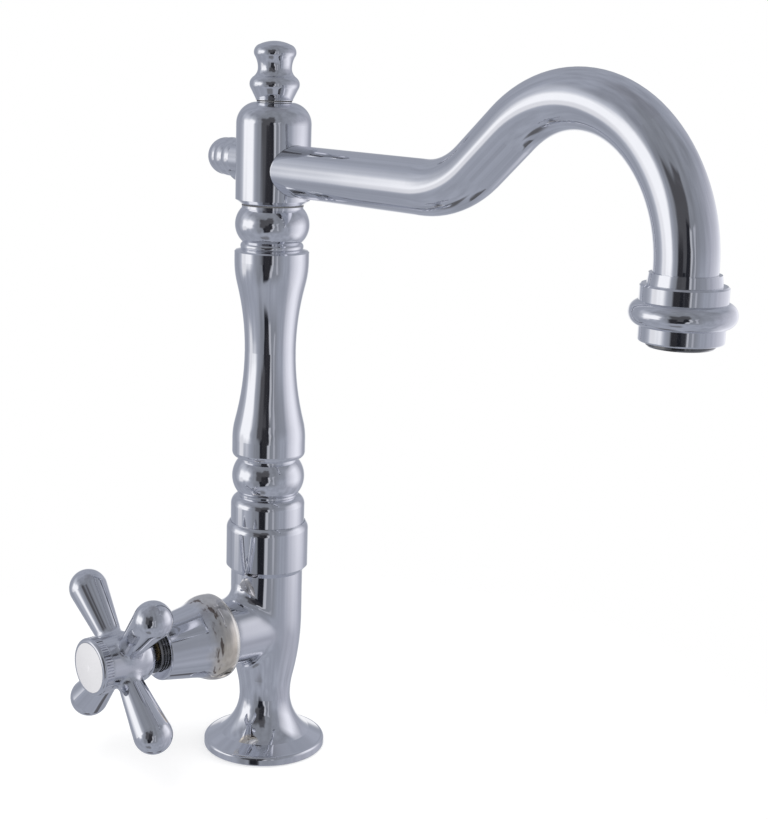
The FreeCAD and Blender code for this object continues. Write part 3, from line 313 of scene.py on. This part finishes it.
tree.links.new(spread(tree, painted_edge_highlight, 1.0, EDGE_HIGHLIGHT_METAL, (0.0, 1.0)), shader.inputs["Metallic"])
over(tree, shader.inputs["Base Color"], stain, STAIN_TONE)
over(tree, shader.inputs["Base Color"], spots, SPOT_TONE)
# The painted highlight goes over the stain and the spots.
over(tree, shader.inputs["Base Color"], painted_edge_highlight, EDGE_HIGHLIGHT_TONE)
dress(bonnet_chrome, "bonnet_shroud")


# Gland ring: a black moulded cap on the cartridge's neck, with two grip grooves.
# Its ribs come glossy from the mould and shine between the bonnet and the hub.

def set_values(shader, values):
    for socket, value in values.items():
        shader.inputs[socket].default_value = value


PLASTIC_TONES = ((0.012, 0.012, 0.013), (0.024, 0.024, 0.026))
MOULD_GLOSS = {"Coat Weight": 1.0, "Coat IOR": 2.2, "Coat Roughness": 0.08}

black_plastic = plain_finish("black_plastic", PLASTIC_TONES,
                             rough=(0.12, 0.24), grain=1200, relief=1e-5)
set_values(shader_of(black_plastic), MOULD_GLOSS)
dress(black_plastic, "gland_ring")


# Cross handle: a cast hub with four club-shaped arms, polished and chromed.
# The arms run softly into the hub, as the polishing wheel leaves them.
# It is clamped on the spindle by a steel screw under the button.

ROOT_REACH = 0.0025
ROOT_BAND = (0.017, 0.014)

handle_chrome = chrome("handle_chrome", wave_scale=90, wave_depth=8e-5)
tree = handle_chrome.node_tree
x, y, z = ways(tree, own_place(tree))
from_spindle = distance_from(tree, y, maths(tree, "SUBTRACT", z, BRANCH_HEIGHT))
roots = spread(tree, from_spindle, 0.0, 1.0, ROOT_BAND)
soften(tree, shader_of(handle_chrome), ROOT_REACH, roots)
dress(handle_chrome, "cross_handle")
dress(steel, "handle_screw")


# Index bezel: a turned and knurled ring with a round lip, chromed and screwed into the hub.
# The knurl catches the light as a row of fine bright lines.

dress(chrome("bezel_chrome", wave_scale=120, wave_depth=2e-5), "index_bezel")


# Index button: a slightly crowned disc of white glazed porcelain, bare of any mark.
# The glaze is clear and hard, with a little unevenness.

PORCELAIN_TONES = ((0.74, 0.735, 0.75), (0.79, 0.785, 0.80))

porcelain = plain_finish("white_porcelain", PORCELAIN_TONES,
                         rough=(0.08, 0.14), grain=90, relief=4e-6)
dress(porcelain, "index_button")


# Union collar: a turned ring screwed over the valve body, which carries the column's foot.
# A small steel grub screw behind keeps the column from turning.

dress(chrome("collar_chrome", wave_scale=60, wave_depth=6e-5), "union_collar")
dress(steel, "collar_grub_screw")


# Column: a baluster turned from brass bar, polished and chromed.
# Two rubber rings seal its spigot in the valve body.

dress(chrome("column_chrome", wave_scale=55, wave_depth=8e-5), "column")
dress(black_rubber, "column_o_rings")


# Swivel post: a chromed brass post screwed into the column, on which the head turns.
# It is sealed by two rubber rings, with grey nylon washers under the head and the finial.

NYLON_TONES = ((0.13, 0.13, 0.135), (0.2, 0.2, 0.205))

nylon = plain_finish("nylon_washer", NYLON_TONES, rough=(0.6, 0.8), grain=800, relief=2e-5)
dress(chrome("post_chrome", wave_scale=60, wave_depth=2e-5), "swivel_post")
dress(black_rubber, "post_o_rings")
dress(nylon, "head_washer", "finial_washer")


# Swivel head, back knob and finial: turned from brass, polished and chromed.
# The knob screws into the head's back on a nylon washer, and the finial closes the top.

dress(chrome("head_chrome", wave_scale=60, wave_depth=6e-5), "swivel_head")
dress(chrome("knob_chrome", wave_scale=90, wave_depth=4e-5), "back_knob", "finial")
dress(nylon, "knob_washer")


# Spout: a drawn brass tube bent to a swan neck, polished and chromed.
# A ferrule and a beaded outlet collar are soldered on its end.

dress(chrome("spout_chrome", wave_scale=45, wave_depth=1.2e-4), "spout_tube")
dress(chrome("outlet_chrome", wave_scale=70, wave_depth=4e-5), "outlet_ferrule", "outlet_collar")


# Aerator: a black moulded insert with a perforated steel screen, pressed on a rubber washer.
# It breaks up the water at the outlet.

dress(black_plastic, "aerator_insert")
dress(steel, "aerator_screen")
dress(black_rubber, "aerator_washer")


# Studio: a white floor that fades into a white room, lit by two large soft lamps.
# The room's walls, soft boxes and dark opening, and a light and a dark card that stand nearer,
# show only in what is polished.

FLOOR_SIDES = 96
FLOOR_RADIUS = 1.6
FLOOR_DROP = -0.0005
FLOOR_CLEAR = (0.05, 0.25)
FLOOR_FINISH = {
    "Base Color": (0.55, 0.55, 0.55, 1),
    "Roughness": 0.9,
    "Specular IOR Level": 0.0,
    "Emission Color": (1, 1, 1, 1),
    "Emission Strength": 0.52,
}

bpy.ops.object.select_all(action="DESELECT")
bpy.ops.mesh.primitive_circle_add(vertices=FLOOR_SIDES, radius=FLOOR_RADIUS, fill_type="NGON",
                                  location=(0, 0, FLOOR_DROP))
floor = bpy.context.object
floor.name = "floor"
bpy.ops.object.transform_apply(location=True)
floor.visible_glossy = False

floor_white = new_material("floor_white")
tree, shader = floor_white.node_tree, shader_of(floor_white)
set_values(shader, FLOOR_FINISH)
distance = new_node(tree, "VectorMath", operation="LENGTH")
tree.links.new(own_place(tree), distance.inputs[0])
clear = spread(tree, distance.outputs["Value"], 1.0, 0.0, FLOOR_CLEAR)
tree.links.new(clear, shader.inputs["Alpha"])
floor.data.materials.append(floor_white)

VIEW_TURN = math.radians(-41.8)
CARD_SIZE = 1.5
CARD_FINISH = {
    "Base Color": (0, 0, 0, 1),
    "Specular IOR Level": 0.0,
    "Emission Strength": 1.0,
}
# Each card: bearing and distance from the tap, height, colour, and where sides and ends fade in.
CARDS = {
    "light_card": {"bearing": 102, "away": 0.3, "level": 0.14, "tone": (0.95, 0.95, 1.02),
                   "sides": ((0.28, 0.03), (-0.17, -0.02)), "ends": (0.22, 0.09)},
    "dark_card": {"bearing": -8.4, "away": 0.61, "level": 0.12, "tone": (0.03, 0.03, 0.035),
                  "sides": ((0.13, 0.07), (-0.085, -0.055)), "ends": (0.20, 0.12)},
}

to_right = Vector((math.cos(VIEW_TURN), math.sin(VIEW_TURN), 0))
to_front = Vector((math.sin(VIEW_TURN), -math.cos(VIEW_TURN), 0))
upward = Vector((0, 0, 1))
for name, held in CARDS.items():
    turn = math.radians(held["bearing"])
    outward = to_right * math.sin(turn) + to_front * math.cos(turn)
    bpy.ops.object.select_all(action="DESELECT")
    bpy.ops.mesh.primitive_plane_add(size=CARD_SIZE,
                                     location=outward * held["away"] + upward * held["level"],
                                     rotation=(-outward).to_track_quat("Z", "Y").to_euler())
    card = bpy.context.object
    card.name = name
    card.visible_camera = False
    card.visible_diffuse = False
    card.visible_shadow = False

    material = new_material(name)
    tree, shader = material.node_tree, shader_of(material)
    set_values(shader, CARD_FINISH)
    shader.inputs["Emission Color"].default_value = (*held["tone"], 1)
    x, y, z = ways(tree, own_place(tree))
    sides = [spread(tree, x, 0.0, 1.0, side) for side in held["sides"]]
    ends = spread(tree, maths(tree, "ABSOLUTE", y), 0.0, 1.0, held["ends"])
    shown = maths(tree, "MULTIPLY", maths(tree, "MULTIPLY", *sides), ends)
    tree.links.new(shown, shader.inputs["Alpha"])
    card.data.materials.append(material)

LAMP_AIM = Vector((0, 0, 0.1))
LAMPS = {
    "key_lamp": {"place": (-0.9, -0.7, 1.4), "size": 0.9, "power": 11},
    "fill_lamp": {"place": (1.1, -0.8, 1.0), "size": 1.0, "power": 6},
}

for name, lamp in LAMPS.items():
    data = bpy.data.lights.new(name, "AREA")
    data.size = lamp["size"]
    data.energy = lamp["power"]
    light = bpy.data.objects.new(name, data)
    light.location = lamp["place"]
    light.rotation_euler = (LAMP_AIM - light.location).to_track_quat("-Z", "Y").to_euler()
    light.visible_glossy = False
    bpy.context.scene.collection.objects.link(light)


def room_panel_group():
    # A soft-edged panel on the wall of the room, in radians of bearing and of height.
    group, given, result = new_group(
        "room_panel",
        ("Bearing", "Height", "Middle", "Half Width", "Level", "Half Rise", "Softness", "Lean"),
        ("Mask",),
    )
    given = given.outputs
    slant = maths(group, "MULTIPLY", given["Height"], given["Lean"])
    upright = maths(group, "SUBTRACT", given["Bearing"], slant)
    masks = []
    for value, centre, half in ((upright, "Middle", "Half Width"),
                                (given["Height"], "Level", "Half Rise")):
        aside = maths(group, "SUBTRACT", value, given[centre])
        aside = maths(group, "WRAP", aside, math.pi, -math.pi)
        edge = new_node(group, "MapRange", interpolation_type="SMOOTHSTEP")
        group.links.new(maths(group, "ABSOLUTE", aside), edge.inputs["Value"])
        for way, bound in (("ADD", "From Min"), ("SUBTRACT", "From Max")):
            limit = maths(group, way, given[half], given["Softness"])
            group.links.new(limit, edge.inputs[bound])
        masks.append(edge.outputs["Result"])
    group.links.new(maths(group, "MULTIPLY", *masks), result.inputs["Mask"])
    return group


ROOM_WALL = (0.355, 0.375, 0.435)
ROOM_DRIFT = math.radians(3)
DRIFT_SCALE = 3.0
DRIFT_DETAIL = 1.0
ROOM_STREAKS = (0.87, 1.13)
STREAK_STRETCH = (4, 4, 1.5)
SURROUNDINGS = (0.84, 0.84, 0.85)
WHITE = (1, 1, 1)
# Each panel: bearing from the camera's side, half width, height, half rise, softness, lean, colour.
ROOM_WALLS = {
    "ceiling": (0, 190, 90, 22, 12, 0, (0.262, 0.272, 0.312)),
    "right_wall": (66, 40, 36, 34, 10, 0, (0.275, 0.29, 0.33)),
    "left_shade": (-70, 20, 48, 18, 10, 0, (0.285, 0.30, 0.345)),
    "front_wall": (-8, 42, 26, 54, 10, 0, (0.245, 0.258, 0.29)),
    "floor_shade": (-28, 18, -56, 7, 6, 0, (0.19, 0.195, 0.215)),
    "back_shade": (-150, 20, -72, 10, 8, 0, (0.12, 0.12, 0.13)),
    "floor_bar": (150, 12, -67, 6, 3, 0, (0.11, 0.11, 0.12)),
    "right_glow": (108, 40, -8, 36, 22, 0, (0.46, 0.47, 0.54)),
    "left_glow": (-84, 26, 8, 22, 12, 0, (0.58, 0.60, 0.66)),
}
ROOM_OPENINGS = {
    "left_box": (-79, 20, 4, 14, 6, 0, (1.1, 1.1, 1.12)),
    "left_box_foot": (-91, 7, -11, 6, 4, 0, (0.85, 0.85, 0.88)),
    "backdrop": (180, 16, -8, 13, 8, 0, (1.0, 1.0, 1.02)),
    "opening": (-13, 23, 12, 20, 4, 0, (0.085, 0.085, 0.093)),
    "opening_top": (-4, 12, 35, 6, 4, 0, (0.09, 0.09, 0.10)),
    "door_high": (-4, 6, 4, 11, 2, 0.3, (0.02, 0.021, 0.027)),
    "door_low": (-9, 11, -16.5, 10, 2.5, 0.15, (0.015, 0.016, 0.021)),
    "door_edge": (7.2, 3.0, -6, 20, 1.2, 0.25, (0.51, 0.52, 0.56)),
    "wall_line": (22, 3.0, -2, 17, 1.5, 0.03, (0.43, 0.44, 0.49)),
}

world = bpy.data.worlds.new("studio")
bpy.context.scene.world = world
world.use_nodes = True
tree = world.node_tree
turned = new_node(tree, "VectorRotate", rotation_type="Z_AXIS")
turned.inputs["Angle"].default_value = -VIEW_TURN
tree.links.new(new_node(tree, "TexCoord").outputs["Generated"], turned.inputs["Vector"])
outlook = turned.outputs["Vector"]
x, y, z = ways(tree, outlook)
drift = new_node(tree, "SeparateColor")
wander = noise(tree, outlook, DRIFT_SCALE, DRIFT_DETAIL).node
tree.links.new(wander.outputs["Color"], drift.inputs["Color"])
bearing = maths(tree, "ADD", maths(tree, "ARCTAN2", x, maths(tree, "MULTIPLY", y, -1.0)),
                spread(tree, drift.outputs["Red"], -ROOM_DRIFT, ROOM_DRIFT))
height = maths(tree, "ADD", maths(tree, "ARCSINE", z),
               spread(tree, drift.outputs["Green"], -ROOM_DRIFT, ROOM_DRIFT))

room_panel = room_panel_group()


def hang(room, panels):
    # Lays each panel over what is already in the room.
    for name, (*angles, lean, colour) in panels.items():
        panel = new_node(tree, "Group", node_tree=room_panel, label=name)
        tree.links.new(bearing, panel.inputs["Bearing"])
        tree.links.new(height, panel.inputs["Height"])
        sockets = ("Middle", "Half Width", "Level", "Half Rise", "Softness")
        for socket, angle in zip(sockets, angles):
            panel.inputs[socket].default_value = math.radians(angle)
        panel.inputs["Lean"].default_value = lean
        room = mixed(tree, "RGBA", panel.outputs["Mask"], room, colour)
    return room


tall = new_node(tree, "Mapping")
tall.inputs["Scale"].default_value = STREAK_STRETCH
tree.links.new(outlook, tall.inputs["Vector"])
streaks = spread(tree, noise(tree, tall.outputs["Vector"], 1.0), *ROOM_STREAKS)
streaked = new_node(tree, "VectorMath", operation="SCALE")
tree.links.new(hang(ROOM_WALL, ROOM_WALLS), streaked.inputs["Vector"])
tree.links.new(streaks, streaked.inputs["Scale"])
room = hang(streaked.outputs["Vector"], ROOM_OPENINGS)

rays = new_node(tree, "LightPath").outputs
polished = maths(tree, "MAXIMUM", rays["Is Glossy Ray"], rays["Is Transmission Ray"])
around = mixed(tree, "RGBA", polished, SURROUNDINGS, room)
seen = mixed(tree, "RGBA", rays["Is Camera Ray"], around, WHITE)
tree.links.new(seen, tree.nodes["Background"].inputs["Color"])


# Camera: in front of the handle and as high as the finial, with a long lens.
# It looks slightly down and is a touch tilted.

PICTURE_HEIGHT = 820
FOCAL_PIXELS = 1600
SENSOR = 36
NEAR_CLIP = 0.01
VIEW_DOWN = math.radians(12.6)
VIEW_ROLL = math.radians(1.86)
EYE_BACK = 0.6783
EYE_SIDE = 0.0498
EYE_HEIGHT = 0.3078

backward = to_front * math.cos(VIEW_DOWN) + upward * math.sin(VIEW_DOWN)
level_up = upward * math.cos(VIEW_DOWN) - to_front * math.sin(VIEW_DOWN)
across = to_right * math.cos(VIEW_ROLL) + level_up * math.sin(VIEW_ROLL)
aloft = level_up * math.cos(VIEW_ROLL) - to_right * math.sin(VIEW_ROLL)
lens = bpy.data.cameras.new("camera")
lens.sensor_width = SENSOR
lens.lens = FOCAL_PIXELS * SENSOR / PICTURE_HEIGHT
lens.clip_start = NEAR_CLIP
camera = bpy.data.objects.new("camera", lens)
camera.matrix_world = Matrix((across, aloft, backward)).transposed().to_4x4()
camera.location = to_right * EYE_SIDE + to_front * EYE_BACK + upward * EYE_HEIGHT
bpy.context.scene.collection.objects.link(camera)
bpy.context.scene.camera = camera
bpy.context.scene.view_settings.view_transform = "Standard"
